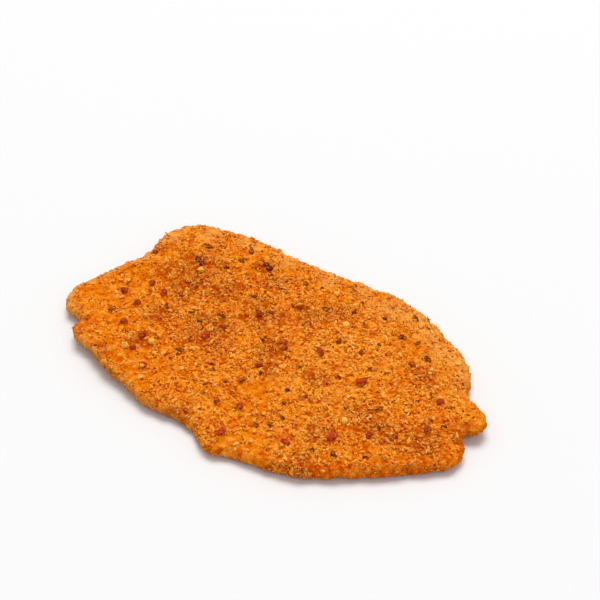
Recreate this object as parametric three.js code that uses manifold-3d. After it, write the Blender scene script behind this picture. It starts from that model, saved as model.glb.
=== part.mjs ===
// A breaded schnitzel: one thin cutlet, pounded flat and coated all over in spiced breadcrumbs.
// Millimetres, +Z up. +X runs along the cutlet, and the origin lies on the table, under the middle
// of its outline. The cutlet, its crust and the seeds and flakes stuck in the crust are one solid.
import * as THREE from "three";
import { ImprovedNoise } from "three/addons/math/ImprovedNoise.js";
import { mergeVertices } from "three/addons/utils/BufferGeometryUtils.js";
import Module from "manifold-3d";

// ---- Driving dimensions ----

const LENGTH = 172;
const WIDTH = 110;
const THICKNESS = 7; // of the flat middle, crust included

// The rim is round: it bulges furthest at this height, and meets both faces over these distances.
// Clumps of crumbs make its line ragged, by so much, over bumps of this breadth.
const RIM = { height: 2.8, topRounding: 6.5, undersideRounding: 4, ragged: 0.9, bump: 4.5 };

// The outline, anticlockwise from the left end, in shares of half the length and half the width.
const OUTLINE = {
  leftCorner: [[-0.99, -0.44], [-0.925, -0.56], [-0.81, -0.6]],
  spur: [[-0.768, -0.64], [-0.79, -0.7], [-0.73, -0.765]],
  nearEdge: [[-0.61, -0.805], [-0.47, -0.865], [-0.33, -0.895], [-0.2, -0.925], [-0.06, -0.895], [0.05, -0.89]],
  toe: [[0.11, -0.93], [0.19, -0.99], [0.26, -0.93]],
  nearCorner: [[0.4, -0.865], [0.53, -0.79], [0.64, -0.675], [0.78, -0.475], [0.92, -0.25]],
  rightEnd: [[0.985, -0.12], [0.985, 0], [0.945, 0.1]],
  notch: [[0.9, 0.155]],
  tongue: [[0.95, 0.17], [0.98, 0.25], [0.93, 0.37], [0.86, 0.435], [0.8, 0.475]],
  farShoulder: [[0.755, 0.62], [0.68, 0.735], [0.58, 0.82], [0.46, 0.9]],
  crown: [[0.33, 0.965], [0.19, 0.99], [0.04, 0.95]],
  farEdge: [[-0.17, 0.9], [-0.39, 0.87], [-0.57, 0.85], [-0.72, 0.785], [-0.85, 0.735]],
  leftEnd: [[-0.93, 0.59], [-0.94, 0.4], [-0.9, 0.19], [-0.94, 0.07], [-0.955, -0.12], [-0.985, -0.3]],
};

// Where the meat is thicker or thinner: [x, y] of the middle, reach and extra height.
const SWELLS = [
  { at: [-54, 30], reach: 30, height: 3.2 },
  { at: [4, 30], reach: 34, height: 1.8 },
  { at: [-60, -12], reach: 18, height: -0.8 },
  { at: [-16, -10], reach: 24, height: -1.1 },
  { at: [40, -14], reach: 24, height: 1 },
  { at: [60, 14], reach: 16, height: -0.9 },
  { at: [10, -40], reach: 16, height: -0.7 },
];

// Where the rim curls up off the table: [x, y] on the rim, reach along it and rise.
const CURL_DEPTH = 16; // how far in from the rim a curl begins
const CURLS = [
  { at: [-50, -46], reach: 30, rise: 2.4 },
  { at: [84, 14], reach: 11, rise: 2.2 },
  { at: [-80, 22], reach: 24, rise: 1.2 },
];

// Crust relief: size is the breadth of a lump and height how far it stands out or in.
const LUMPS = { size: 10, height: 0.8 };
const CRUMBS = { size: 2.9, height: 0.75 };

// Spices stuck in the crust: those that stand out, [x, y] each, and how many more are strewn.
const MUSTARD_SEEDS = {
  radius: 1.3,
  placed: [
    [-42, -36], [-39.4, -34.5], [-42, -27], [-37, -27], [-61, -2], [-46, -1], [-22, -4], [-16, 10], [-13, 13],
    [-6, 22], [3, 16], [2, 3], [4.5, 0.5], [3, -12], [46, -16], [57, -16], [64, -11], [70, 0],
  ],
  strewn: 12,
};
const HERB_FLAKES = {
  radius: 1.8,
  thickness: 0.9,
  placed: [[4, -22], [51, -3], [56, -10], [-42, 29], [-14, 35], [31, 46]],
  strewn: 7,
};
const PEPPER_FLAKES = {
  radius: 2,
  thickness: 0.9,
  placed: [[16, -47], [38, 4], [-24, -12], [48, -25]],
  strewn: 4,
};

// The strewing, over an ellipse. The same draw seed gives the same places.
const STREWING = { drawSeed: 71, halfLength: 77, halfWidth: 45, gap: 6 };

// Spice sizes lie between these shares of the kind's radius, and the lifts are shares of a seed's
// radius and a flake's thickness: how far the middle stands above the crust.
const SPICE_SIZE = [0.8, 1.1];
const SEED_LIFT = 0.3;
const FLAKE_LIFT = 0.25;

// ---- Mesh fineness ----

const TOP_SPACING = 2.2;
const UNDERSIDE_SPACING = 6;
const TOP_RIM_STEPS = [0, 0.25, 0.9, 2, 3.6, 5.5]; // distances in from the rim
const UNDERSIDE_RIM_STEPS = [0, 0.8, 2.2, 4, 8];

const COATING = new THREE.MeshStandardMaterial({ color: 0xd9791c, roughness: 0.85, metalness: 0 });

// ---- Plan ----

// The plan is cut into rings. They close in on the spine, a line along the middle, so that they
// stay evenly spaced, and lose the outline's notches and bumps on the way.
const SPINE_HALF = (LENGTH - WIDTH) / 2;
const HALF_WIDTH = WIDTH / 2;
const RIM_SAMPLES = 400;
const SMOOTHED_OVER = 20; // samples to each side
const SMOOTHED_EVERY = 10; // samples
const NOTCH_KEEPING = 6; // the higher, the nearer to the rim the notches fade out

const noise = new ImprovedNoise();

const outlineCurve = new THREE.CatmullRomCurve3(
  Object.values(OUTLINE).flat().map(([x, y]) => new THREE.Vector3((x * LENGTH) / 2, (y * WIDTH) / 2, 0)),
  true,
  "centripetal",
);

/** The point of the ragged rim at a turn from 0 to 1. */
function rimPoint(turn) {
  const point = outlineCurve.getPointAt(turn % 1);
  const push = (RIM.ragged * noise.noise(point.x / RIM.bump, point.y / RIM.bump, 5.5)) / HALF_WIDTH;
  const spineX = THREE.MathUtils.clamp(point.x, -SPINE_HALF, SPINE_HALF);
  return new THREE.Vector3(point.x + push * (point.x - spineX), point.y * (1 + push), 0);
}

const rimPoints = Array.from({ length: RIM_SAMPLES }, (_, i) => rimPoint(i / RIM_SAMPLES));

/** The average of the rim's samples round a sample. */
function smoothedPoint(sample) {
  const sum = new THREE.Vector3();
  for (let i = sample - SMOOTHED_OVER; i <= sample + SMOOTHED_OVER; i++) sum.add(rimPoints.at(i % RIM_SAMPLES));
  return sum.divideScalar(2 * SMOOTHED_OVER + 1);
}

const smoothedRim = new THREE.CatmullRomCurve3(
  Array.from({ length: RIM_SAMPLES / SMOOTHED_EVERY }, (_, i) => smoothedPoint(i * SMOOTHED_EVERY)),
  true,
);

/** The ring at a share of the way from the spine to the rim, from turn 0 to 1. */
class RingCurve extends THREE.Curve {
  constructor(share) {
    super();
    this.share = share;
    this.arcLengthDivisions = RIM_SAMPLES;
  }

  getPoint(turn) {
    const outer = smoothedRim.getPoint(turn % 1).lerp(rimPoint(turn), this.share ** NOTCH_KEEPING);
    const spineX = THREE.MathUtils.clamp(outer.x, -SPINE_HALF, SPINE_HALF);
    return new THREE.Vector2(THREE.MathUtils.lerp(spineX, outer.x, this.share), outer.y * this.share);
  }
}

/** Distance from a point inside the outline to the rim. */
function rimDistance(x, y) {
  let least = Infinity;
  for (let i = 0; i < RIM_SAMPLES; i++) {
    const a = rimPoints[i];
    const b = rimPoints[(i + 1) % RIM_SAMPLES];
    const along = ((x - a.x) * (b.x - a.x) + (y - a.y) * (b.y - a.y)) / a.distanceToSquared(b);
    const t = THREE.MathUtils.clamp(along, 0, 1);
    least = Math.min(least, Math.hypot(x - a.x - t * (b.x - a.x), y - a.y - t * (b.y - a.y)));
  }
  return least;
}

// ---- Heights ----

/** A quarter of an ellipse: 0 at the rim, rising to 1 at the given reach. */
function rounding(distance, reach) {
  const inward = Math.min(distance / reach, 1);
  return Math.sqrt(1 - (1 - inward) ** 2);
}

/** A smooth hill, 1 in its middle. */
function hill([cx, cy], reach, x, y) {
  return Math.exp(-((x - cx) ** 2 + (y - cy) ** 2) / reach ** 2);
}

function curlHeight(x, y, distance) {
  const nearRim = Math.max(0, 1 - distance / CURL_DEPTH) ** 2;
  return CURLS.reduce((sum, { at, reach, rise }) => sum + rise * nearRim * hill(at, reach, x, y), 0);
}

function crustRelief(x, y) {
  const lumps = LUMPS.height * noise.noise(x / LUMPS.size, y / LUMPS.size, 0);
  const crumbs = CRUMBS.height * noise.noise(x / CRUMBS.size, y / CRUMBS.size, 9.5);
  return lumps + crumbs;
}

function topHeight(x, y, distance = rimDistance(x, y)) {
  const swell = SWELLS.reduce((sum, { at, reach, height }) => sum + height * hill(at, reach, x, y), 0);
  const rise = (THICKNESS + swell - RIM.height) * rounding(distance, RIM.topRounding);
  const relief = crustRelief(x, y) * rounding(distance, 1);
  return RIM.height + rise + curlHeight(x, y, distance) + relief;
}

function undersideHeight(x, y, distance = rimDistance(x, y)) {
  return RIM.height * (1 - rounding(distance, RIM.undersideRounding)) + curlHeight(x, y, distance);
}

// ---- Crust ----

/** Evenly spaced points of the ring at a distance in from the rim. Both faces share the rim's own. */
function ring(step, spacing, stagger, height) {
  const curve = new RingCurve(1 - step / HALF_WIDTH);
  const count = Math.round(curve.getLength() / (step === 0 ? TOP_SPACING : spacing));
  return Array.from({ length: count }, (_, i) => {
    const turn = curve.getUtoTmapping((i + stagger) / count);
    const { x, y } = curve.getPoint(turn);
    const z = step === 0 ? RIM.height + curlHeight(x, y, 0) : height(x, y);
    return { turn, point: new THREE.Vector3(x, y, z) };
  });
}

/** The spine as the last ring: out along it and back, through the same points. */
function spineRing(spacing, height) {
  const step = SPINE_HALF / Math.round(SPINE_HALF / spacing);
  const spine = new RingCurve(0);
  const places = rimPoints.map((_, i) => {
    const turn = i / RIM_SAMPLES;
    return { turn, x: Math.round(spine.getPoint(turn).x / step) * step };
  });
  return places
    .filter(({ x }, i) => x !== places.at(i - 1).x)
    .map(({ turn, x }) => ({ turn, point: new THREE.Vector3(x, 0, height(x, 0)) }));
}

/** Rings of points from the rim in to the spine, for one face. */
function faceRings(rimSteps, spacing, height) {
  const lastStep = rimSteps.at(-1);
  const inner = Math.round((HALF_WIDTH - lastStep) / spacing);
  const innerSteps = Array.from({ length: inner - 1 }, (_, i) => {
    return THREE.MathUtils.lerp(lastStep, HALF_WIDTH, (i + 1) / inner);
  });
  const steps = [...rimSteps, ...innerSteps];
  const rings = steps.map((step, i) => ring(step, spacing, (i % 2) / 2, height));
  return [...rings, spineRing(spacing, height)];
}

/** Triangles of the band between two rings of a face seen from above, given in turn order. */
function bandTriangles(outer, inner) {
  const triangles = [];
  const at = (ring, i) => ring[i % ring.length].point;
  const turnAt = (ring, i) => ring[i % ring.length].turn + Math.floor(i / ring.length);
  let o = 0;
  let n = 0;
  while (o < outer.length || n < inner.length) {
    const stepOuter = n === inner.length || (o < outer.length && turnAt(outer, o + 1) <= turnAt(inner, n + 1));
    if (stepOuter) {
      triangles.push([at(outer, o), at(outer, o + 1), at(inner, n)]);
      o++;
    } else {
      triangles.push([at(outer, o), at(inner, n + 1), at(inner, n)]);
      n++;
    }
  }
  return triangles;
}

function faceTriangles(rings) {
  return rings.slice(1).flatMap((inner, i) => bandTriangles(rings[i], inner));
}

function trianglesToGeometry(triangles) {
  const positions = triangles.flat().flatMap((p) => [p.x, p.y, p.z]);
  return new THREE.BufferGeometry().setAttribute("position", new THREE.Float32BufferAttribute(positions, 3));
}

function crustGeometry() {
  const top = faceTriangles(faceRings(TOP_RIM_STEPS, TOP_SPACING, topHeight));
  const underside = faceTriangles(faceRings(UNDERSIDE_RIM_STEPS, UNDERSIDE_SPACING, undersideHeight));
  return trianglesToGeometry([...top, ...underside.map((t) => t.toReversed())]);
}

// ---- Spices ----

/** Repeatable draws between 0 and 1, by the Park-Miller rule. */
function drawer(drawSeed) {
  const [factor, modulus] = [16807, 2147483647];
  let state = drawSeed;
  return () => (state = (state * factor) % modulus) / modulus;
}

/** A drawn place [x, y] in an ellipse that lies inside the rim, clear of the places already taken. */
function strewnPlace(draw, taken) {
  for (;;) {
    const reach = Math.sqrt(draw());
    const angle = 2 * Math.PI * draw();
    const x = STREWING.halfLength * reach * Math.cos(angle);
    const y = STREWING.halfWidth * reach * Math.sin(angle);
    if (taken.every(([px, py]) => Math.hypot(x - px, y - py) > STREWING.gap)) return [x, y];
  }
}

function spiceGeometries() {
  const draw = drawer(STREWING.drawSeed);
  const kinds = [MUSTARD_SEEDS, HERB_FLAKES, PEPPER_FLAKES];
  const taken = kinds.flatMap(({ placed }) => placed);
  return kinds.flatMap((kind) => {
    const strewn = Array.from({ length: kind.strewn }, () => {
      const place = strewnPlace(draw, taken);
      taken.push(place);
      return place;
    });
    return [...kind.placed, ...strewn].map((place) => spice(kind, place, draw));
  });
}

function spice({ radius, thickness }, [x, y], draw) {
  const size = radius * THREE.MathUtils.lerp(...SPICE_SIZE, draw());
  const shape = thickness
    ? new THREE.CylinderGeometry(size * 0.8, size, thickness, 6).rotateX(Math.PI / 2)
    : new THREE.SphereGeometry(size, 6, 4);
  const lift = thickness ? thickness * FLAKE_LIFT : size * SEED_LIFT;
  return shape.rotateZ(2 * Math.PI * draw()).translate(x, y, topHeight(x, y) + lift);
}

// ---- One solid ----

function positionsOnly(geometry) {
  const bare = geometry.clone();
  bare.deleteAttribute("normal");
  bare.deleteAttribute("uv");
  return mergeVertices(bare, 1e-4);
}

function toSolid(wasm, geometry) {
  const bare = positionsOnly(geometry);
  const mesh = new wasm.Mesh({
    numProp: 3,
    vertProperties: bare.attributes.position.array,
    triVerts: new Uint32Array(bare.index.array),
  });
  return new wasm.Manifold(mesh);
}

function toGeometry(solid) {
  const { vertProperties, triVerts } = solid.getMesh();
  return new THREE.BufferGeometry()
    .setAttribute("position", new THREE.BufferAttribute(vertProperties, 3))
    .setIndex(new THREE.BufferAttribute(triVerts, 1));
}

const wasm = await Module();
wasm.setup();

const crust = toSolid(wasm, crustGeometry());
const whole = spiceGeometries().reduce((solid, spice) => solid.add(toSolid(wasm, spice)), crust);

const schnitzel = new THREE.Mesh(toGeometry(whole), COATING);
schnitzel.name = "schnitzel";

const group = new THREE.Group();
group.add(schnitzel);

export default group;
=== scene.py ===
"""Dresses the solid cutlet in its spiced breadcrumb crust and sets a plain studio round it."""

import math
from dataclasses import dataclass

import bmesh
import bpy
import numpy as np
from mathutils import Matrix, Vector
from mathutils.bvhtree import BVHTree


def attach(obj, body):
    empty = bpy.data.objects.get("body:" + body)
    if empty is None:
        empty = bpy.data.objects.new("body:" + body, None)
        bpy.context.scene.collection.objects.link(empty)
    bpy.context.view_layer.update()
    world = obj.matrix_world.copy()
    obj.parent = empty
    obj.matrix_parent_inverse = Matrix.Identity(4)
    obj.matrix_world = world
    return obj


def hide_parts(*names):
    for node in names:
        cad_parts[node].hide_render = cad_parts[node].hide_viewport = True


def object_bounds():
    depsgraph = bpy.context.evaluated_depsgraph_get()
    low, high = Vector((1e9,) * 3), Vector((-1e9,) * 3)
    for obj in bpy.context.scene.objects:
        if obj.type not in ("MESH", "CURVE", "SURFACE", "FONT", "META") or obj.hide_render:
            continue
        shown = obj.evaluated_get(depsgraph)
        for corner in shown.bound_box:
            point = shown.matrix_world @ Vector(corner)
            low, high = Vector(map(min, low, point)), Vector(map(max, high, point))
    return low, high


bl_info = {
    "name": "Breaded Schnitzel",
    "version": (1, 0, 0),
    "blender": (4, 5, 0),
    "location": "View3D > Sidebar > Schnitzel",
    "description": "A spiced breadcrumb crust on a flat cutlet, with its seeds, flakes and studio",
    "category": "Object",
}

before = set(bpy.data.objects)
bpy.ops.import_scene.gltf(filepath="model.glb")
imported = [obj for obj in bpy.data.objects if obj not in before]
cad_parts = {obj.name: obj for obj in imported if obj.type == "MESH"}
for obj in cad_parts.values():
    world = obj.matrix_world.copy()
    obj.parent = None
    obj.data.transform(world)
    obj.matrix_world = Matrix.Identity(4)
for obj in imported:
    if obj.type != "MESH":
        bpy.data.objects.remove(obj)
CAD_LOW, CAD_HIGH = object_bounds()

BODY = "root"
NODE = "schnitzel"
MM = 0.001  # metres
CM2 = 0.0001  # square metres
PIECE_TRIANGLES = 200_000  # each piece has fewer


def srgb(red, green, blue):
    """A colour given as it looks on screen, from 0 to 255, as linear light."""
    shares = [level / 255 for level in (red, green, blue)]
    return tuple(
        ((share + 0.055) / 1.055) ** 2.4 if share > 0.04045 else share / 12.92 for share in shares
    )


# ---- Where the crust differs: [x, y] of a patch and its reach, in millimetres ----

POWDERY = [
    (-68, -22, 22), (-66, 4, 16), (-32, -38, 17), (27, -46, 13), (13, -23, 11), (46, 34, 13), (82, 15, 10),
    (-40, 34, 12), (-80, -16, 14), (-50, -42, 11), (-25, -50, 10), (-5, -53, 8),
]
ROUGH = [
    (-48, 8, 22), (-20, 20, 20), (8, 25, 18), (57, -8, 17), (47, -43, 14), (-8, -8, 16), (24, -30, 12),
    (15, -55, 10), (58, -43, 11), (84, -14, 9),
]
# Lighter golden patches: partly lighter crumbs, partly painted light where crests face the key light
GOLDEN_AND_LIT = [
    (30, 14, 16), (35, -10, 14), (18, -12, 9), (52, 38, 13), (63, 21, 12), (34, 46, 10), (36, -30, 11),
    (18, 7, 12), (-66, 33, 10), (-48, 41, 8), (2, -42, 9), (28, -55, 10), (75, 15, 9), (-7, -25, 6),
    (24, 31, 9), (-76, 9, 8),
]
# Deeper orange patches: partly deeper seasoning, partly painted shade on slopes that face away from the key
# light
DEEP_AND_SHADED = [
    (-52, 16, 14), (-34, 32, 6), (-36, 12, 8), (-14, 11, 10), (-1, 22, 7), (7, 28, 7), (0, -2, 8),
    (7, -10, 7), (-26, -8, 12), (-24, 27, 6), (48, -10, 8), (58, -10, 8), (72, -6, 9), (40, -49, 7),
    (-42, -31, 5), (-46, -12, 8), (47, -40, 7), (82, 7, 8), (-51, 4, 9), (-48, -44, 6), (43, -26, 6),
    (70, -28, 6), (52, 23, 7), (66, 31, 6), (24, -4, 6), (-62, 7, 6), (-3, -49, 8),
]
# Far rim patches: thinner seasoning, with a painted highlight of the back light
BARE_AND_HIGHLIT = [
    (28, 49, 8), (40, 45, 9), (52, 40, 10), (64, 32, 7), (20, 44, 9), (6, 46, 6), (-9, 44, 7),
    (-31, 42, 7), (-48, 40, 6), (-63, 36, 6), (-76, 24, 6),
]
STAINED = [
    (9, 26, 4), (-24, -12, 3.5), (-14, -22, 3.5), (38, 4, 3), (48, -25, 3.5), (15, -47, 3),
    (-42, -12, 5), (-30, 22, 5), (72, 9, 4), (-62, -34, 4), (0, 12, 4),
]
PATCH_HEIGHT = 8  # of each patch's middle over the table, in millimetres
PATCH_WANDER = 9  # how far noise moves a patch's edge, in millimetres
PATCH_NOISE = 1 / 7  # waves of that noise in a millimetre
PATCH_EDGE = (1.15, 0.35)  # where a patch starts and where it is full, as shares of its reach


# ---- Spices that stand out ----


@dataclass
class Spice:
    """A kind of seed or flake, and where it lies."""

    radius: float  # millimetres
    placed: list  # [x, y] of each, in millimetres
    strewn: int  # how many more lie where chance puts them


SPICES = {
    "mustard_seeds": Spice(
        radius=1.3,
        placed=[
            (-42, -36), (-39.4, -34.5), (-42, -27), (-37, -27), (-61, -2), (-46, -1), (-22, -4), (-16, 10),
            (-13, 13), (-6, 22), (3, 16), (2, 3), (4.5, 0.5), (3, -12), (46, -16), (57, -16), (64, -11),
            (70, 0),
        ],
        strewn=12,
    ),
    "herb_flakes": Spice(
        radius=1.8,
        placed=[(4, -22), (51, -3), (56, -10), (-42, 29), (-14, 35), (31, 46)],
        strewn=7,
    ),
    "pepper_flakes": Spice(
        radius=2,
        placed=[(16, -47), (38, 4), (-24, -12), (48, -25)],
        strewn=4,
    ),
    "herb_scraps": Spice(
        radius=1.3,
        placed=[(-46, 7), (-12, -15), (46, -22), (23, -36), (40, 35)],
        strewn=10,
    ),
    "pepper_shards": Spice(
        radius=1.1,
        placed=[(30, 1), (33, 5), (20, -16), (6, -14), (28, -28), (42, -10), (-28, -16)],
        strewn=16,
    ),
    "peppercorns": Spice(
        radius=1.6,
        placed=[(-56.5, 19.4), (-53.6, 18), (-33, 33.6), (-30.8, 33)],
        strewn=2,
    ),
    "pale_lumps": Spice(
        radius=0.95,
        placed=[(-61.5, -1), (-50, -17), (-69, -14), (-29, -40), (-8, -45), (-7, -30), (-65, -15)],
        strewn=16,
    ),
}
IN_SOLID = ("mustard_seeds", "herb_flakes", "pepper_flakes")  # the kinds that the solid has too
YELLOW_SEEDS = (0, 3, 14, 20, 27)  # places in the list of mustard seeds

DRAW_SEED = 71
DRAW_FACTOR = 16807
DRAW_MODULUS = 2147483647
STREWN_HALF_LENGTH = 77  # of the ellipse where chance puts the rest, in millimetres
STREWN_HALF_WIDTH = 45
STREWN_GAP = 6  # least distance to the others, in millimetres
SPICE_SIZE = (0.8, 1.1)  # least and greatest share of the kind's radius
SPICE_TILT = 0.25  # radians, either way about each level axis


@dataclass
class SpiceLook:
    """How the seeds or flakes of one piece are shaped and coloured."""

    slot: str
    colour: str  # its name in the settings
    shape: tuple  # half breadths along its three axes, as shares of the radius
    sink: float  # how far the middle lies under the top of the solid, as a share of the radius
    unevenness: float  # breadth of the noise that moves its points, in millimetres
    curl: float  # how far its ends rise, as a share of its half thickness
    roughness: float
    mottling: float  # waves of the noise that mottles it, in a millimetre
    shade: float = 0.55  # the darkest mottling, as a share of the colour
    dusting: float = 0.75  # share of the coating's colour where it is dusted


SPICE_LOOKS = {
    "brown_mustard_seeds": SpiceLook(
        slot="mustard_seed", colour="brown_seed", shape=(1.12, 1.08, 1), sink=1, unevenness=0.3, curl=0,
        roughness=0.45, mottling=0.8, shade=0.5, dusting=0.55,
    ),
    "yellow_mustard_seeds": SpiceLook(
        slot="mustard_seed", colour="yellow_seed", shape=(1.12, 1.08, 1), sink=1, unevenness=0.3,
        curl=0, roughness=0.45, mottling=0.8, shade=0.85, dusting=0.3,
    ),
    "herb_flakes": SpiceLook(
        slot="herb", colour="herb", shape=(0.95, 0.6, 0.16), sink=0.3, unevenness=1.1, curl=0.5,
        roughness=0.8, mottling=1.6,
    ),
    "pepper_flakes": SpiceLook(
        slot="pepper_flake", colour="pepper", shape=(1.05, 0.66, 0.2), sink=0.12, unevenness=0.7,
        curl=0.3, roughness=0.6, mottling=1, shade=0.5, dusting=0.5,
    ),
    "herb_scraps": SpiceLook(
        slot="herb", colour="herb", shape=(1, 0.62, 0.2), sink=0.3, unevenness=0.9, curl=0.4,
        roughness=0.8, mottling=1.6,
    ),
    "pepper_shards": SpiceLook(
        slot="pepper_flake", colour="shard", shape=(1, 0.7, 0.35), sink=0.4, unevenness=0.8, curl=0.2,
        roughness=0.6, mottling=1,
    ),
    "peppercorns": SpiceLook(
        slot="pepper_flake", colour="corn", shape=(1.1, 0.8, 0.6), sink=0.35, unevenness=0.9, curl=0.1,
        roughness=0.6, mottling=1,
    ),
    "pale_lumps": SpiceLook(
        slot="crust", colour="lump", shape=(1.15, 0.8, 0.6), sink=0.2, unevenness=1, curl=0.1,
        roughness=0.85, mottling=1, shade=0.8, dusting=0.6,
    ),
}


# ---- Crumbs and specks, too small for the solid ----


@dataclass
class Crumbs:
    """A kind of crumb or speck, strewn over the crust."""

    radius: float  # millimetres
    shape: tuple  # half breadths along its three axes, as shares of the radius
    per_cm2: float
    on_powder: float  # share left where the crust is powdery
    on_rough: float  # further share where it is rough
    underneath: float  # share on the side that lies down
    lift: float  # how far the middle stands out of the crust, as a share of the radius
    hue: tuple
    purity: float  # how far the hue shows through the coating
    slot: str = "crust"


STREWN = {
    "fine_crumbs": Crumbs(
        radius=0.42, shape=(1.5, 0.8, 0.7), per_cm2=28, on_powder=0.5, on_rough=0.1, underneath=0.8,
        lift=-0.1, hue=srgb(254, 168, 48), purity=0.25,
    ),
    "golden_crumbs": Crumbs(
        radius=0.6, shape=(1.55, 0.7, 0.65), per_cm2=28, on_powder=0.25, on_rough=0.4, underneath=0.7,
        lift=-0.15, hue=srgb(252, 164, 42), purity=0.3,
    ),
    "amber_crumbs": Crumbs(
        radius=0.58, shape=(1.35, 0.8, 0.75), per_cm2=13, on_powder=0.4, on_rough=0.3, underneath=0.8,
        lift=-0.15, hue=srgb(188, 76, 2), purity=0.3,
    ),
    "pale_crumbs": Crumbs(
        radius=0.5, shape=(1.7, 0.6, 0.5), per_cm2=7, on_powder=0.35, on_rough=0.8, underneath=0.6,
        lift=0.15, hue=srgb(255, 188, 88), purity=0.7,
    ),
    "coarse_crumbs": Crumbs(
        radius=0.9, shape=(1.3, 0.8, 0.7), per_cm2=3.5, on_powder=0.15, on_rough=1, underneath=0,
        lift=-0.15, hue=srgb(254, 168, 46), purity=0.3,
    ),
    "shred_crumbs": Crumbs(
        radius=0.9, shape=(1.6, 0.4, 0.35), per_cm2=0.9, on_powder=0.2, on_rough=1.5, underneath=0,
        lift=0.35, hue=srgb(255, 188, 98), purity=0.6,
    ),
    "paprika_specks": Crumbs(
        radius=0.42, shape=(1.2, 0.9, 0.6), per_cm2=2.5, on_powder=0.8, on_rough=0.4, underneath=0.7,
        lift=0.3, hue=srgb(196, 52, 0), purity=0.75, slot="pepper_flake",
    ),
    "herb_specks": Crumbs(
        radius=0.42, shape=(1.4, 0.8, 0.5), per_cm2=0.6, on_powder=0.7, on_rough=0.6, underneath=0.7,
        lift=0.3, hue=srgb(126, 62, 0), purity=0.8, slot="herb",
    ),
    "pepper_specks": Crumbs(
        radius=0.3, shape=(1.3, 0.9, 0.7), per_cm2=6, on_powder=0.9, on_rough=0.3, underneath=0.7,
        lift=0.35, hue=srgb(140, 38, 0), purity=0.85, slot="pepper_flake",
    ),
}
CRUMBED_SLOPES = (-0.5, 0.1)  # of the normal, between the density underneath and the whole density
CLUSTER_DENSITY = 2  # times the usual one, in the middle of a cluster of crumbs
CRUMB_SIZE = (0.65, 1.35)  # least and greatest share of the kind's radius
CRUMB_TILT = 0.6  # radians, either way about each axis that lies along the crust
CRUMB_UNEVENNESS = 2.6  # breadth of the noise that moves a crumb's points, as a share of the radius
BARE_SMOOTHNESS = 0.5  # how smooth the bare patches are, as a share of the powdery ones
STEEP_FEWER = 0.15  # share of the crumbs that steep parts of the crust lack
STEEP_SMALLER = 0.5  # share of their size that crumbs there lack
ROUGH_EVENNESS = 0.7  # share of both losses that rough patches make good


# ---- The crust's mesh and relief ----

WELD_GAP = 0.01 * MM
SMOOTHINGS = 4
SMOOTHING = 0.5  # how far each one moves a point towards its neighbours' middle
TOP_SLOPE = -0.1  # faces whose normal rises more than this count as the top

LEVEL_SLOPES = (0.75, 0.97)  # of the normal, where the crust starts to count as level and where it does
RIM_LET_OUT = 0.5  # how far the rim stands out of the solid, as a share of the inset
RIM_BLURS = 40  # steps that spread the rim's steepness over the mesh
STEEP_RIM = (0.15, 0.5)  # levels of the rim where its relief starts to change and where it has changed
GRAIN_MIDDLE = 0.42  # distance from a grain's middle, as a share of its breadth, where it is level
GRAIN_BEND = 1.4  # how far noise bends the grains, in millimetres
GRAIN_SHARE = 0.9  # of the grain height that each grain stands out by
CRAG_SHARE = 1.6  # of the grain height that the crags between them stand out by
POWDER_CALM = 0.5  # share of the relief that the powder fills
RIM_CALM = 0.45  # share of it that the rim lacks
ROUGH_RIM = 0.7  # share of it that the rough parts of the rim gain


# ---- The crust's colours ----


@dataclass
class Drift:
    """Noise that decides where something shows: not before a start level, and fully past another."""

    scale: float  # waves in a millimetre
    start: float
    full: float
    detail: float = 4
    roughness: float = 0.5


YELLOW_DRIFT = Drift(scale=0.16, start=0.4, full=0.6)
OLIVE_DRIFT = Drift(scale=0.23, start=0.54, full=0.7)
STAIN_DRIFT = Drift(scale=0.13, start=0.58, full=0.7)
RIDGE_FLECKS = Drift(scale=0.38, start=0.5, full=0.66, detail=5, roughness=0.72)
GAP_FLECKS = Drift(scale=0.38, start=0.5, full=0.33, detail=5, roughness=0.72)
SPECKED = Drift(scale=0.3, start=0.46, full=0.56, detail=2)
DUSTED = Drift(scale=1.1, start=0.5, full=0.66)
CLUSTERS = Drift(scale=0.28, start=0.35, full=0.65, detail=2)

# Where the tints of the rim start and where they are full: along X or Y, in millimetres,
FAR_SIDE_Y = (-2, 18)
FAR_SIDE_END_X = (74, 58)
LEFT_END_X = (-64, -76)
# the left of the near flank turns pale: thinner seasoning and painted bounce light
PALE_FLANK_X = (10, -20)
SHADED_FLANK_X = (32, 60)
# and at what levels of the rim, from 0 on top to 1 on the flank
BARE_AND_HIGHLIT_RIM = (0.02, 0.2)
SHADED_FLANK_RIM = (0.03, 0.25)
PALE_RIM = (0.08, 0.35)
CRUMBED_RIM = (0.1, 0.5)  # where crumbs are fewer and smaller, which is no tint

CRUST_ROUGHNESS = 0.85
SPICE_SHEEN = 0.1


# ---- Settings ----


def length(name, description, millimetres):
    """A property that holds a length."""
    return bpy.props.FloatProperty(
        name=name, description=description, default=millimetres * MM, unit="LENGTH", precision=5
    )


def colour(name, description, value):
    """A property that holds a colour."""
    return bpy.props.FloatVectorProperty(
        name=name, description=description, default=value, size=3, min=0, max=1, subtype="COLOR"
    )


def angle(name, description, degrees):
    """A property that holds an angle."""
    return bpy.props.FloatProperty(
        name=name, description=description, default=math.radians(degrees), unit="ROTATION"
    )


def amount(name, description, value):
    """A property that holds a plain number."""
    return bpy.props.FloatProperty(name=name, description=description, default=value)


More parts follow.
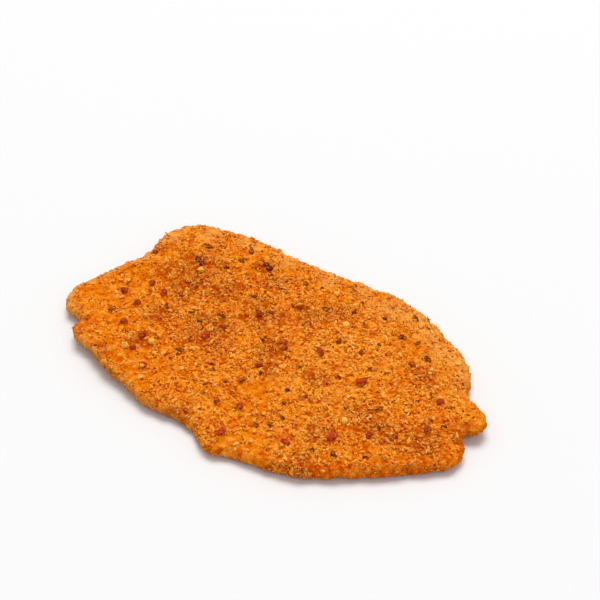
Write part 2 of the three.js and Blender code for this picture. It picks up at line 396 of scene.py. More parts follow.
class CrustSettings(bpy.types.PropertyGroup):
    """Sizes and colours of the crust that the crumbs are stuck in."""

    cell: length("Mesh cell", "Breadth of the mesh cells underneath. On top they are half of it", 1)
    inset: length("Inset", "How far the crust lies inside the solid, to leave room for the crumbs", 0.6)
    clump_breadth: length("Clump breadth", "Breadth of the clumps of crumbs", 3.2)
    clump_height: length("Clump height", "How far the clumps stand in or out", 2.1)
    grain_breadth: length("Grain breadth", "Breadth of the grains in the crust", 1.5)
    grain_height: length("Grain height", "How far the grains stand out", 1.1)
    coating: colour("Coating", "The coating between the crumbs", srgb(222, 113, 0))
    yellow: colour("Yellow coating", "Coating with more mustard", srgb(236, 137, 14))
    # partly more paprika and pepper, partly painted shade on slopes that face away from the key light
    deep: colour("Deep coating", "Coating with more paprika and pepper", srgb(168, 64, 2))
    # partly lighter crumbs, partly painted light where crests face the key light
    golden: colour("Golden coating", "Coating with the lightest crumbs", srgb(240, 150, 38))
    olive: colour("Olive coating", "Coating with more herbs", srgb(208, 117, 10))
    powder: colour("Powder", "The smooth powdery patches", srgb(226, 119, 0))
    # light flecks at random, and the painted highlight on the ridges of the crust and the tops of its crumbs
    light_fleck_and_highlight: colour("Ridge", "The lightest grains", srgb(255, 178, 80))
    # dark flecks at random, and the painted shade in the gaps of the relief and at the feet of the crumbs
    gap: colour("Gap", "The gaps between the grains", srgb(180, 45, 0))
    # paprika stains, and also the painted shade on the right of the near flank
    paprika: colour("Paprika", "Patches stained by paprika", srgb(214, 78, 6))
    # thinner seasoning on the far rim, with a painted highlight of the back light
    bare_and_highlit: colour("Bare rim", "The far rim, where less seasoning has stuck", srgb(232, 155, 68))
    # thinner seasoning on the near flank, with painted bounce light from the table
    flank: colour("Flank", "The near flank, where the seasoning is thin", srgb(214, 134, 52))
    speck: colour("Speck", "Fine dark specks", srgb(120, 36, 0))


class SpiceSettings(bpy.types.PropertyGroup):
    """Colours of the spices that stand out."""

    brown_seed: colour("Brown mustard", "Brown mustard seeds", srgb(178, 60, 14))
    yellow_seed: colour("Yellow mustard", "Yellow mustard seeds", srgb(255, 188, 82))
    herb: colour("Herb", "Dried herb", srgb(126, 64, 0))
    pepper: colour("Pepper", "Dried red pepper", srgb(182, 44, 10))
    shard: colour("Cracked pepper", "Fine bits of cracked peppercorn", srgb(116, 40, 8))
    corn: colour("Peppercorn", "Whole bits of peppercorn", srgb(112, 40, 22))
    lump: colour("Pale lump", "Crumbs of bread larger than the rest", srgb(254, 176, 76))
    dust: colour("Dust", "Coating that sticks to the spices", srgb(232, 122, 20))


class StudioSettings(bpy.types.PropertyGroup):
    """The camera, the lights and the table."""

    target_x: length("Target X", "Point on the table that the camera looks at", -16.2)
    target_y: length("Target Y", "Point on the table that the camera looks at", 34.1)
    distance: length("Distance", "From the target to the camera", 570)
    elevation: angle("Elevation", "How far the camera looks down", 38)
    azimuth: angle("Azimuth", "How far round the camera stands", 40)
    lens: amount("Lens", "Focal length in millimetres, for a picture 36 mm wide", 87)
    key_power: amount("Key light", "Watts of the large light above and behind", 135)
    fill_power: amount("Fill light", "Watts of the light in front", 29)
    sky: amount("Sky", "Brightness of the white surroundings", 0.53)
    table: colour("Table", "The white table", (0.77, 0.77, 0.77))


SETTINGS = {
    "schnitzel_crust": CrustSettings,
    "schnitzel_spices": SpiceSettings,
    "schnitzel_studio": StudioSettings,
}


# ---- Node trees ----


class Socket:
    """An output of a node. Arithmetic on it adds Math nodes to its tree."""

    def __init__(self, nodes, output):
        self.nodes = nodes
        self.output = output

    def _math(self, operation, first, second):
        return self.nodes.add("ShaderNodeMath", {"operation": operation}, {0: first, 1: second})

    def __add__(self, other):
        return self._math("ADD", self, other)

    def __sub__(self, other):
        return self._math("SUBTRACT", self, other)

    def __rsub__(self, other):
        return self._math("SUBTRACT", other, self)

    def __mul__(self, other):
        return self._math("MULTIPLY", self, other)

    def __rtruediv__(self, other):
        return self._math("DIVIDE", other, self)

    def __abs__(self):
        return self.nodes.add("ShaderNodeMath", {"operation": "ABSOLUTE"}, {0: self})

    __radd__ = __add__
    __rmul__ = __mul__


class Nodes:
    """Adds nodes to a tree, from the position that one of its nodes gives."""

    def __init__(self, tree, coordinates, output=0):
        self.tree = tree
        self.position = self.add(coordinates, output=output)
        self.place = self.scaled(self.position, 1 / MM)  # in millimetres

    def add(self, kind, settings=None, inputs=None, output=0):
        """A node of a kind. Its settings come first, then the values or links of its inputs."""
        node = self.tree.nodes.new(kind)
        for name, value in (settings or {}).items():
            setattr(node, name, value)
        for key, value in (inputs or {}).items():
            if isinstance(value, Socket):
                self.tree.links.new(value.output, node.inputs[key])
            else:
                node.inputs[key].default_value = value
        return Socket(self, node.outputs[output]) if len(node.outputs) else None

    def vector(self, operation, *inputs, **named):
        """Vector maths. A DISTANCE is a number, the rest are vectors."""
        output = "Value" if operation == "DISTANCE" else "Vector"
        given = {**dict(enumerate(inputs)), **named}
        return self.add("ShaderNodeVectorMath", {"operation": operation}, given, output)

    def scaled(self, vector, factor):
        return self.vector("SCALE", vector, Scale=factor)

    def combined(self, x=0, y=0, z=0):
        return self.add("ShaderNodeCombineXYZ", None, {0: x, 1: y, 2: z})

    def axis(self, vector, name):
        return self.add("ShaderNodeSeparateXYZ", None, {0: vector}, name)

    def noise(self, scale, detail=2, roughness=0.5, output=0):
        """Smooth noise about 0.5, or three of them as its Color. Its scale is in waves a millimetre."""
        inputs = {"Vector": self.place, "Scale": scale, "Detail": detail, "Roughness": roughness}
        return self.add("ShaderNodeTexNoise", None, inputs, output)

    def cells(self, place, scale):
        """The distance from the middle of the nearest cell."""
        return self.add("ShaderNodeTexVoronoi", None, {"Vector": place, "Scale": scale}, "Distance")

    def ramp(self, value, low, high):
        """From 0 at low to 1 at high, smoothly, and level past them."""
        inputs = {"Value": value, "From Min": low, "From Max": high}
        return self.add("ShaderNodeMapRange", {"interpolation_type": "SMOOTHSTEP"}, inputs)

    def larger(self, first, second):
        return self.add("ShaderNodeMath", {"operation": "MAXIMUM"}, {0: first, 1: second})

    def tint(self, first, second, mask, most=1):
        """The first colour, turned towards the second where the mask is 1, by this much at most."""
        first, second = (c if isinstance(c, Socket) else (*c, 1) for c in (first, second))
        inputs = {"Factor": mask * most, 6: first, 7: second}
        return self.add("ShaderNodeMix", {"data_type": "RGBA"}, inputs, 2)

    def drift(self, drift):
        """1 where the noise is past the drift's full level, and 0 before its start."""
        return self.ramp(self.noise(drift.scale, drift.detail, drift.roughness), drift.start, drift.full)

    def patches(self, patches, wander=PATCH_WANDER):
        """1 on the patches and 0 off them, with edges that noise makes uneven."""
        uneven = (self.noise(PATCH_NOISE, detail=3) - 0.5) * (2 * wander)
        start, full = PATCH_EDGE
        mask = None
        for x, y, reach in patches:
            away = self.vector("DISTANCE", self.place, (x, y, PATCH_HEIGHT)) + uneven
            patch = self.ramp(away, reach * start, reach * full)
            mask = patch if mask is None else self.larger(mask, patch)
        return mask


class GeometryNodes(Nodes):
    """A geometry node tree with named inputs."""

    def __init__(self, name, **inputs):
        super().__init__(bpy.data.node_groups.new(name, "GeometryNodeTree"), "GeometryNodeInputPosition")
        face = self.tree.interface
        face.new_socket("Geometry", in_out="OUTPUT", socket_type="NodeSocketGeometry")
        face.new_socket("Geometry", in_out="INPUT", socket_type="NodeSocketGeometry")
        for label, kind in inputs.items():
            face.new_socket(label, in_out="INPUT", socket_type=kind)
        group = self.tree.nodes.new("NodeGroupInput")
        self.given = {label: Socket(self, group.outputs[label]) for label in ("Geometry", *inputs)}

    def stored(self, geometry, name, value, domain="POINT"):
        """The geometry with a number kept on it."""
        inputs = {"Geometry": geometry, "Name": name, "Value": value}
        return self.add("GeometryNodeStoreNamedAttribute", {"data_type": "FLOAT", "domain": domain}, inputs)

    def kept(self, name):
        """A number kept on the geometry."""
        return self.add("GeometryNodeInputNamedAttribute", {"data_type": "FLOAT"}, {"Name": name})

    def chance(self, low, high, seed):
        """A random number for each element."""
        inputs = {2: low, 3: high, "Seed": seed}
        return self.add("FunctionNodeRandomValue", {"data_type": "FLOAT"}, inputs, 1)

    def moved(self, geometry, offset):
        return self.add("GeometryNodeSetPosition", None, {"Geometry": geometry, "Offset": offset})

    def jagged(self, geometry, scale, detail, breadth):
        """The geometry with its points moved every way by noise of a breadth."""
        noise = self.noise(scale, detail, output="Color")
        return self.moved(geometry, self.scaled(self.vector("SUBTRACT", noise, (0.5, 0.5, 0.5)), breadth))

    def shaded_smooth(self, geometry):
        return self.add("GeometryNodeSetShadeSmooth", None, {"Geometry": geometry})

    def ball(self, subdivisions):
        """A smooth ball with a radius of 1."""
        inputs = {"Radius": 1, "Subdivisions": subdivisions}
        return self.shaded_smooth(self.add("GeometryNodeMeshIcoSphere", None, inputs))

    def set_on(self, points, lump, rotation, scale):
        """A lump set on each point, with a shade of its own kept on it."""
        inputs = {"Points": points, "Instance": lump, "Rotation": rotation, "Scale": scale}
        placed = self.add("GeometryNodeInstanceOnPoints", None, inputs)
        placed = self.stored(placed, "shade", self.chance(0, 1, seed=3), "INSTANCE")
        return self.add("GeometryNodeRealizeInstances", None, {"Geometry": placed})

    def finish(self, geometry, material):
        """Gives the geometry its material and ends the tree."""
        made = self.add("GeometryNodeSetMaterial", None, {"Geometry": geometry, "Material": material})
        self.add("NodeGroupOutput", None, {"Geometry": made})

    def grow(self, source, name, values):
        """A new object with the plain mesh that the tree makes of a source mesh."""
        piece = bpy.data.objects.new(name, source)
        bpy.context.scene.collection.objects.link(piece)
        modifier = piece.modifiers.new(self.tree.name, "NODES")
        modifier.node_group = self.tree
        for item in self.tree.interface.items_tree:
            if item.in_out == "INPUT" and item.name in values:
                modifier[item.identifier] = values[item.name]
        graph = bpy.context.evaluated_depsgraph_get()
        mesh = bpy.data.meshes.new_from_object(
            piece.evaluated_get(graph), preserve_all_data_layers=True, depsgraph=graph
        )
        piece.modifiers.remove(modifier)
        piece.data = mesh
        mesh.name = name
        return piece


# ---- Materials ----


class Finish(Nodes):
    """A new material, its nodes and its Principled shader."""

    def __init__(self, name, roughness, specular=0):
        self.material = bpy.data.materials.new(name)
        self.material.use_nodes = True
        super().__init__(self.material.node_tree, "ShaderNodeTexCoord", "Object")
        self.shader = self.tree.nodes["Principled BSDF"]
        self.shader.inputs["Roughness"].default_value = roughness
        self.shader.inputs["Specular IOR Level"].default_value = specular

    def kept(self, name):
        """A number kept on the mesh."""
        return self.add("ShaderNodeAttribute", {"attribute_name": name}, None, "Fac")

    def colour(self, value):
        self.tree.links.new(value.output, self.shader.inputs["Base Color"])

    def bump(self, scale, height, detail, roughness=0.5):
        """Fine bumps of noise, of a height in millimetres."""
        inputs = {"Distance": height * MM, "Height": self.noise(scale, detail, roughness)}
        normal = self.add("ShaderNodeBump", None, inputs)
        self.tree.links.new(normal.output, self.shader.inputs["Normal"])

    def coating(self, settings):
        """The coating's colour: it drifts and is patched, partly with painted light and shade, stained,
        tinted at the rim, partly with painted highlight, bounce light and shade, and flecked.
        """
        base = self.tint(settings.coating, settings.yellow, self.drift(YELLOW_DRIFT))
        base = self.tint(base, settings.olive, self.drift(OLIVE_DRIFT), most=0.75)
        base = self.tint(base, settings.powder, self.patches(POWDERY), most=0.65)
        # golden patches: partly lighter crumbs, partly painted light
        base = self.tint(base, settings.golden, self.patches(GOLDEN_AND_LIT), most=0.78)
        # deeper patches: partly seasoning, partly painted shade
        base = self.tint(base, settings.deep, self.patches(DEEP_AND_SHADED, wander=5), most=0.8)
        stained = self.larger(self.patches(STAINED, wander=3), self.drift(STAIN_DRIFT))
        base = self.tint(base, settings.paprika, stained, most=0.6)
        base = self.rim_tints(base, settings)
        base = self.tint(base, settings.light_fleck_and_highlight, self.drift(RIDGE_FLECKS), most=0.64)
        return self.tint(base, settings.gap, self.drift(GAP_FLECKS), most=0.68)

    def rim_tints(self, base, settings):
        """A colour that turns paler at the far rim and left end, where less seasoning has stuck and a
        highlight of the back light is painted; pale on the left of the near flank, where the seasoning is
        thin and bounce light from the table is painted; and red on the right of the near flank, as painted
        shade.
        """
        rim = self.kept("rim")
        along = self.axis(self.place, "X")
        far_side = self.ramp(self.axis(self.place, "Y"), *FAR_SIDE_Y)
        far = self.larger(far_side * self.ramp(along, *FAR_SIDE_END_X), self.ramp(along, *LEFT_END_X))
        # far rim and left end: thinner seasoning plus a painted highlight of the back light
        bare_and_highlit = self.larger(self.ramp(rim, *BARE_AND_HIGHLIT_RIM) * far, self.patches(BARE_AND_HIGHLIT, wander=4))
        base = self.tint(base, settings.bare_and_highlit, bare_and_highlit, most=0.8)
        # left of the near flank: thinner seasoning plus painted bounce light from the table
        pale = self.ramp(rim, *PALE_RIM) * self.ramp(along, *PALE_FLANK_X) * (1 - far)
        base = self.tint(base, settings.flank, pale, most=0.6)
        # painted shade: the right of the near flank, which faces away from the key light, turns redder and
        # darker
        red = self.ramp(rim, *SHADED_FLANK_RIM) * self.ramp(along, *SHADED_FLANK_X) * (1 - far_side)
        return self.tint(base, settings.paprika, red, most=0.35)


def crust_material(settings):
    """Coating, with a painted highlight on the ridges and painted deep red-brown shade in the gaps, with
    dark specks.
    """
    finish = Finish("crumb_crust", CRUST_ROUGHNESS)
    fine_relief = (finish.noise(scale=1.3, detail=4) - 0.5) * 0.5
    relief = finish.kept("relief") + fine_relief
    base = finish.coating(settings)
    # painted highlight: the raised ridges of the relief turn lighter
    base = finish.tint(base, settings.light_fleck_and_highlight, finish.ramp(relief, 0, 0.5), most=0.5)
    # painted shade: the low gaps of the relief turn red-brown
    base = finish.tint(base, settings.gap, finish.ramp(relief, 0, -0.5), most=0.75)
    dots = finish.ramp(finish.cells(finish.place, scale=0.6), 0.16, 0.1)
    finish.colour(finish.tint(base, settings.speck, dots * finish.drift(SPECKED), most=0.6))
    finish.bump(scale=1.1, height=0.55, detail=4, roughness=0.65)
    return finish.material


def crumb_material(name, kind, settings):
    """Crumbs or specks of one kind, each with a shade of its own drawn by chance; crust crumbs get a painted
    highlight on top, and all get painted shade at the foot, where they are stuck.
    """
    finish = Finish(name, CRUST_ROUGHNESS)
    share = (0.4 + 1.2 * finish.kept("shade")) * kind.purity
    base = finish.tint(finish.coating(settings), kind.hue, share)
    crown = finish.kept("crown")
    if kind.slot == "crust":
        # painted highlight: the top of each crust crumb turns lighter
        base = finish.tint(base, settings.light_fleck_and_highlight, finish.ramp(crown, 0.2, 0.9), most=0.35)
    # painted shade: the foot of each crumb, where it is stuck, turns darker
    finish.colour(finish.tint(base, settings.gap, finish.ramp(crown, 0.4, -0.2), most=0.3))
    finish.bump(scale=2, height=0.2, detail=3)
    return finish.material


def spice_material(name, look, settings):
    """A seed or flake, mottled with a darker shade of itself and dusted with coating."""
    finish = Finish(name, look.roughness, SPICE_SHEEN)
    light = getattr(settings, look.colour)
    dark = tuple(part * look.shade for part in light)
    lit = finish.drift(Drift(look.mottling, 0.35, 0.6)) * (0.3 + 0.7 * finish.kept("shade"))
    mottled = finish.tint(dark, light, lit)
    finish.colour(finish.tint(mottled, settings.dust, finish.drift(DUSTED), most=look.dusting))
    finish.bump(scale=2, height=0.12, detail=3)
    return finish.material


# ---- Crust ----


def smooth_form(settings):
    """The solid's form as an even, smooth mesh with finer cells on top."""
    form = bmesh.new()
    form.from_mesh(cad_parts[NODE].data)
    bmesh.ops.remove_doubles(form, verts=form.verts, dist=WELD_GAP)
    mesh = bpy.data.meshes.new("smooth_form")
    form.to_mesh(mesh)
    form.free()
    carrier = bpy.data.objects.new("smooth_form", mesh)
    bpy.context.scene.collection.objects.link(carrier)
    remesh = carrier.modifiers.new("Even cells", "REMESH")
    remesh.mode = "VOXEL"
    remesh.voxel_size = settings.cell
    smooth = carrier.modifiers.new("Smooth", "SMOOTH")
    smooth.factor = SMOOTHING
    smooth.iterations = SMOOTHINGS
    graph = bpy.context.evaluated_depsgraph_get()
    even = bpy.data.meshes.new_from_object(carrier.evaluated_get(graph), depsgraph=graph)
    bpy.data.objects.remove(carrier)
    form = bmesh.new()
    form.from_mesh(even)
    top = {edge for face in form.faces if face.normal.z > TOP_SLOPE for edge in face.edges}
    bmesh.ops.subdivide_edges(form, edges=list(top), cuts=1, use_grid_fill=True)
    form.to_mesh(even)
    form.free()
    return even


def relief_tree(material):
    """Sinks the top and underside by the inset, lets the rim out by part of it, and adds relief.

    The relief is kept on the crust, and so is its rim: 0 on top and up to 1 on the flank.
    """
    labels = ("Inset", "Clump Breadth", "Clump Height", "Grain Breadth", "Grain Height")
    tree = GeometryNodes("Crust relief", **dict.fromkeys(labels, "NodeSocketFloat"))
    given = tree.given
    normal = tree.add("GeometryNodeInputNormal")
    upright = abs(tree.axis(normal, "Z"))
    bend = tree.scaled(tree.noise(scale=0.7, output="Color"), GRAIN_BEND)
    bent = tree.vector("ADD", tree.place, bend)
    clumps = tree.noise(MM / given["Clump Breadth"], detail=3) - 0.5
    grains = GRAIN_MIDDLE - tree.cells(bent, MM / given["Grain Breadth"])
    crags = tree.noise(scale=0.8, detail=5) - 0.5
    spread = {"Value": 1 - upright, "Iterations": RIM_BLURS, "Weight": 1}
    rim = tree.add("GeometryNodeBlurAttribute", {"data_type": "FLOAT"}, spread)
    powder = 1 - POWDER_CALM * tree.patches(POWDERY + BARE_AND_HIGHLIT)
    calm = 1 - tree.ramp(rim, *STEEP_RIM) * (RIM_CALM - ROUGH_RIM * tree.patches(ROUGH))
    relief = (grains * GRAIN_SHARE + crags * CRAG_SHARE) * powder * calm
    height = clumps * given["Clump Height"] + relief * given["Grain Height"]
    marked = tree.stored(given["Geometry"], "rim", rim)
    marked = tree.stored(marked, "relief", relief)
    sunk = given["Inset"] * ((1 + RIM_LET_OUT) * tree.ramp(upright, *LEVEL_SLOPES) - RIM_LET_OUT)
    moved = tree.moved(marked, tree.scaled(normal, height - sunk))
    tree.finish(tree.shaded_smooth(moved), material)
    return tree


def strewing_tree(name, kind, material):
    """Strews crumbs of one kind over the crust, each turned, sized and shaped by chance.

    How high each point of a crumb lies in it, from -1 to 1, is kept on it as its crown.
    """
    labels = ("Radius", "Density", "Lift")
    inputs = dict.fromkeys(labels, "NodeSocketFloat")
    tree = GeometryNodes(f"Strew {name}", **inputs, Seed="NodeSocketInt")
    given = tree.given
    facing = tree.ramp(tree.axis(tree.add("GeometryNodeInputNormal"), "Z"), *CRUMBED_SLOPES)
    side = kind.underneath + (1 - kind.underneath) * facing
    smooth = tree.larger(tree.patches(POWDERY), tree.patches(BARE_AND_HIGHLIT) * BARE_SMOOTHNESS)
    powder = 1 - (1 - kind.on_powder) * smooth
    rough = 1 + kind.on_rough * tree.patches(ROUGH)
    clustered = tree.drift(CLUSTERS) * CLUSTER_DENSITY
    steep = tree.ramp(tree.kept("rim"), *CRUMBED_RIM) * (1 - ROUGH_EVENNESS * tree.patches(ROUGH))
    density = given["Density"] * side * powder * rough * clustered * (1 - STEEP_FEWER * steep)
    inputs = {"Mesh": given["Geometry"], "Density": density, "Seed": given["Seed"]}
    points = tree.add("GeometryNodeDistributePointsOnFaces", None, inputs)
    normal = Socket(tree, points.output.node.outputs["Normal"])
    points = tree.moved(points, tree.scaled(normal, given["Radius"] * given["Lift"]))
    inputs = {0: (-CRUMB_TILT, -CRUMB_TILT, 0), 1: (CRUMB_TILT, CRUMB_TILT, 2 * math.pi), "Seed": 2}
    tilt = tree.add("FunctionNodeRandomValue", {"data_type": "FLOAT_VECTOR"}, inputs)
    upright = tree.add("FunctionNodeAlignRotationToVector", {"axis": "Z"}, {"Vector": normal})
    turned = tree.add("FunctionNodeRotateRotation", {"rotation_space": "LOCAL"}, {0: upright, 1: tilt})
    size = tree.chance(*CRUMB_SIZE, seed=1) * (1 - STEEP_SMALLER * steep) * given["Radius"]
    lump = tree.stored(tree.ball(subdivisions=1), "crown", tree.axis(tree.position, "Z"))
    strewn = tree.set_on(points, lump, turned, tree.scaled(tree.combined(*kind.shape), size))
    breadth = given["Radius"] * CRUMB_UNEVENNESS
    tree.finish(tree.jagged(strewn, scale=1.9, detail=1, breadth=breadth), material)
    return tree


# ---- Spices ----


def draws(state):
    """Repeatable draws between 0 and 1, by the Park-Miller rule."""
    while True:
        state = state * DRAW_FACTOR % DRAW_MODULUS
        yield state / DRAW_MODULUS


def spice_places():
    """Each kind's seeds or flakes as (x, y, radius, turn), where the solid has its own of the kind."""
    draw = draws(DRAW_SEED)
    taken = [place for name in IN_SOLID for place in SPICES[name].placed]
    least, greatest = SPICE_SIZE
    found = {}
    for name, kind in SPICES.items():
        places = list(kind.placed)
        while len(places) < len(kind.placed) + kind.strewn:
            reach = math.sqrt(next(draw))
            turn = 2 * math.pi * next(draw)
            place = (STREWN_HALF_LENGTH * reach * math.cos(turn), STREWN_HALF_WIDTH * reach * math.sin(turn))
            if all(math.dist(place, other) > STREWN_GAP for other in taken):
                places.append(place)
                taken.append(place)
        found[name] = []
        for place in places:
            radius = kind.radius * (least + (greatest - least) * next(draw))
            found[name].append((*place, radius, 2 * math.pi * next(draw)))
    return found


def spice_points(name, places, sink):
    """A mesh of one point for each seed or flake, with its radius and turn kept on it.

    Each point lies below the top of the solid there, by a share of its radius.
    """
    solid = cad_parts[NODE].data
    tree = BVHTree.FromPolygons([v.co for v in solid.vertices], [p.vertices for p in solid.polygons])
    down = Vector((0, 0, -1))
    middles = []
    for x, y, radius, _ in places:
        top, *_ = tree.ray_cast(Vector((x * MM, y * MM, 1)), down)
        if top is None:
            raise RuntimeError(f"{name}: the place {x:.1f}, {y:.1f} mm is off the cutlet")
        middles.append(top + down * (sink * radius * MM))
    mesh = bpy.data.meshes.new(f"{name}_points")
    mesh.from_pydata(middles, [], [])
    numbers = {
        "radius": [radius * MM for _, _, radius, _ in places],
        "turn": [turn for _, _, _, turn in places],
    }
    for label, values in numbers.items():
        mesh.attributes.new(label, "FLOAT", "POINT").data.foreach_set("value", values)
    return mesh


def spice_tree(name, shape, material):
    """Sets a lump of a shape on each point, tilted by chance, with its ends curled up."""
    tree = GeometryNodes(f"Set {name}", Unevenness="NodeSocketFloat", Curl="NodeSocketFloat")
    given = tree.given
    across = tree.axis(tree.position, "X")
    rise = tree.combined(z=across * across * given["Curl"])
    lump = tree.moved(tree.ball(subdivisions=4), rise)
    tilts = [tree.chance(-SPICE_TILT, SPICE_TILT, seed) for seed in (1, 2)]
    rotation = tree.combined(*tilts, tree.kept("turn"))
    size = tree.scaled(tree.combined(*shape), tree.kept("radius"))
    placed = tree.set_on(given["Geometry"], lump, rotation, size)
    tree.finish(tree.jagged(placed, scale=0.9, detail=3, breadth=given["Unevenness"]), material)
    return tree


# ---- Finished pieces ----


def keep_inside(mesh):
    """Presses the few points that stand out of the solid's own box back on to it."""
    points = np.empty(len(mesh.vertices) * 3, np.float32)
    mesh.vertices.foreach_get("co", points)
    points = np.clip(points.reshape(-1, 3), CAD_LOW, CAD_HIGH)
    mesh.vertices.foreach_set("co", points.ravel())
    mesh.update()


def set_piece(piece):
    """Joins a finished piece to the frame."""
    keep_inside(piece.data)
    piece.data.calc_loop_triangles()
    triangles = len(piece.data.loop_triangles)
    if not 0 < triangles < PIECE_TRIANGLES:
        raise RuntimeError(f"{piece.name} has {triangles} triangles")
    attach(piece, BODY)
    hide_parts(NODE)


def set_spices(name, places, settings):
    """Makes the piece of one name, with its seeds or flakes at these places."""
    look = SPICE_LOOKS[name]
    tree = spice_tree(name, look.shape, spice_material(name, look, settings))
    points = spice_points(name, places, look.sink)
    values = {"Unevenness": look.unevenness * MM, "Curl": look.curl}
    set_piece(tree.grow(points, name, values))


# ---- Studio ----


@dataclass
class Softbox:
    """A square light, and where it stands from the target as the camera sees it, in metres."""

    size: float
    right: float
    away: float
    up: float


KEY_LIGHT = Softbox(size=2.5, right=0.14, away=1.37, up=3.96)
FILL_LIGHT = Softbox(size=3.2, right=1.1, away=-3.2, up=2.9)
TABLE_HALF = 4  # metres


def add_light(name, watts, box, target, right, away):
    """A softbox that faces the target."""
    light = bpy.data.lights.new(name, "AREA")
    light.energy = watts
    light.size = box.size
    lamp = bpy.data.objects.new(name, light)
    lamp.location = target + away * box.away + right * box.right + Vector((0, 0, box.up))
    lamp.rotation_euler = (target - lamp.location).to_track_quat("-Z", "Y").to_euler()
    bpy.context.scene.collection.objects.link(lamp)


def add_table(base_colour):
    """A wide, matt table top."""
    mesh = bpy.data.meshes.new("table_top")
    low, high = -TABLE_HALF, TABLE_HALF
    mesh.from_pydata([(low, low, 0), (high, low, 0), (high, high, 0), (low, high, 0)], [], [(0, 1, 2, 3)])
    finish = Finish("table_white", roughness=0.9, specular=0.1)
    finish.shader.inputs["Base Color"].default_value = (*base_colour, 1)
    mesh.materials.append(finish.material)
    table = bpy.data.objects.new("table_top", mesh)
    bpy.context.scene.collection.objects.link(table)


def add_camera(settings, target, viewer):
    """A camera that looks at the target from the viewer's side."""
    lens = bpy.data.cameras.new("camera")
    lens.lens = settings.lens
    camera = bpy.data.objects.new("camera", lens)
    camera.location = target + viewer * settings.distance
    camera.rotation_euler = (-viewer).to_track_quat("-Z", "Y").to_euler()
    bpy.context.scene.collection.objects.link(camera)
    bpy.context.scene.camera = camera


def add_surroundings(strength):
    """Even white light from all round."""
    world = bpy.data.worlds.new("white_surroundings")
    world.use_nodes = True
    background = world.node_tree.nodes["Background"]
    background.inputs["Color"].default_value = (1, 1, 1, 1)
    background.inputs["Strength"].default_value = strength
    bpy.context.scene.world = world


# ---- Operators ----


class SCHNITZEL_OT_crust(bpy.types.Operator):
    """Make the crust that the crumbs are stuck in"""

    bl_idname = "schnitzel.crust"
    bl_label = "Crust"

    def execute(self, context):
        settings = context.scene.schnitzel_crust
        values = {
            "Inset": settings.inset,
            "Clump Breadth": settings.clump_breadth,
            "Clump Height": settings.clump_height,
            "Grain Breadth": settings.grain_breadth,
            "Grain Height": settings.grain_height,
        }
        tree = relief_tree(crust_material(settings))
        set_piece(tree.grow(smooth_form(settings), "crumb_crust", values))
        return {"FINISHED"}


class SCHNITZEL_OT_crumbs(bpy.types.Operator):
    """Strew the crumbs and the finest spices over the crust"""

    bl_idname = "schnitzel.crumbs"
    bl_label = "Crumbs and Specks"

    def execute(self, context):
        ground = bpy.data.meshes.get("crumb_crust")
        if ground is None:
            raise RuntimeError("the crumbs need the crust: make that first")
        settings = context.scene.schnitzel_crust
        for seed, (name, kind) in enumerate(STREWN.items(), start=1):
            values = {
                "Radius": kind.radius * MM,
                "Density": kind.per_cm2 / CM2,
                "Lift": kind.lift,
                "Seed": seed,
            }
            tree = strewing_tree(name, kind, crumb_material(name, kind, settings))
            set_piece(tree.grow(ground, name, values))
        return {"FINISHED"}


class SCHNITZEL_OT_mustard_seeds(bpy.types.Operator):
    """Set the brown and yellow mustard seeds in the crust"""

    bl_idname = "schnitzel.mustard_seeds"
    bl_label = "Mustard Seeds"

    def execute(self, context):
        settings = context.scene.schnitzel_spices
        seeds = spice_places()["mustard_seeds"]
        yellow = [seeds[i] for i in YELLOW_SEEDS]
        brown = [seed for seed in seeds if seed not in yellow]
        set_spices("brown_mustard_seeds", brown, settings)
        set_spices("yellow_mustard_seeds", yellow, settings)
        return {"FINISHED"}


class SCHNITZEL_OT_flakes(bpy.types.Operator):
    """Lay the flakes and bits of herb, pepper and bread on the crust"""

    bl_idname = "schnitzel.flakes"
    bl_label = "Flakes and Bits"

    def execute(self, context):
        settings = context.scene.schnitzel_spices
        for name, places in spice_places().items():
            if name != "mustard_seeds":
                set_spices(name, places, settings)
        return {"FINISHED"}


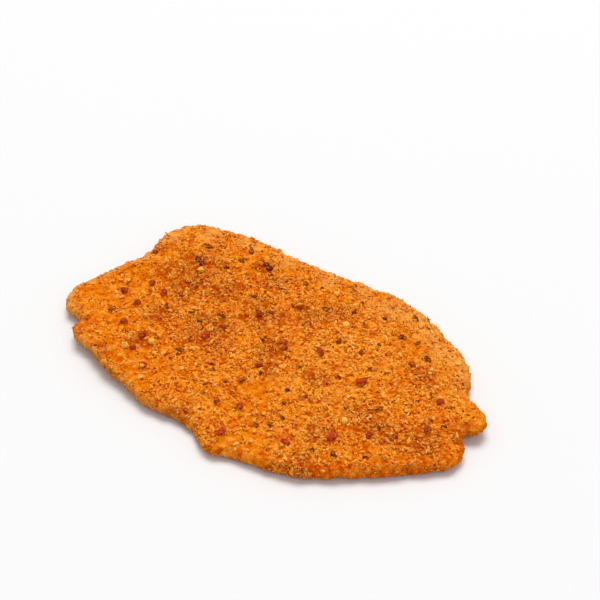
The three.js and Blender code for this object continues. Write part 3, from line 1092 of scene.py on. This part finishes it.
class SCHNITZEL_OT_stage(bpy.types.Operator):
    """Set up the table, the lights and the camera"""

    bl_idname = "schnitzel.stage"
    bl_label = "Table, Lights and Camera"

    def execute(self, context):
        settings = context.scene.schnitzel_studio
        add_table(settings.table)
        target = Vector((settings.target_x, settings.target_y, 0))
        right = Vector((math.cos(settings.azimuth), math.sin(settings.azimuth), 0))
        away = Vector((-right.y, right.x, 0))
        up = Vector((0, 0, 1))
        viewer = -away * math.cos(settings.elevation) + up * math.sin(settings.elevation)
        add_camera(settings, target, viewer)
        add_light("key_light", settings.key_power, KEY_LIGHT, target, right, away)
        add_light("fill_light", settings.fill_power, FILL_LIGHT, target, right, away)
        add_surroundings(settings.sky)
        context.scene.view_settings.view_transform = "Standard"
        return {"FINISHED"}


OPERATORS = (
    SCHNITZEL_OT_crust,
    SCHNITZEL_OT_crumbs,
    SCHNITZEL_OT_mustard_seeds,
    SCHNITZEL_OT_flakes,
    SCHNITZEL_OT_stage,
)


class SCHNITZEL_PT_panel(bpy.types.Panel):
    """The steps that make the schnitzel, in order, and their settings."""

    bl_idname = "SCHNITZEL_PT_panel"
    bl_label = "Breaded Schnitzel"
    bl_space_type = "VIEW_3D"
    bl_region_type = "UI"
    bl_category = "Schnitzel"

    def draw(self, context):
        for operator in OPERATORS:
            self.layout.operator(operator.bl_idname)
        for name in SETTINGS:
            box = self.layout.box()
            settings = getattr(context.scene, name)
            for key in settings.__annotations__:
                box.prop(settings, key)


CLASSES = (*SETTINGS.values(), *OPERATORS, SCHNITZEL_PT_panel)


def register():
    for cls in CLASSES:
        bpy.utils.register_class(cls)
    for name, group in SETTINGS.items():
        setattr(bpy.types.Scene, name, bpy.props.PointerProperty(type=group))


def unregister():
    for name in SETTINGS:
        delattr(bpy.types.Scene, name)
    for cls in reversed(CLASSES):
        bpy.utils.unregister_class(cls)


def main():
    register()
    bpy.ops.schnitzel.crust()
    bpy.ops.schnitzel.crumbs()
    bpy.ops.schnitzel.mustard_seeds()
    bpy.ops.schnitzel.flakes()
    bpy.ops.schnitzel.stage()


if __name__ == "__main__":
    main()
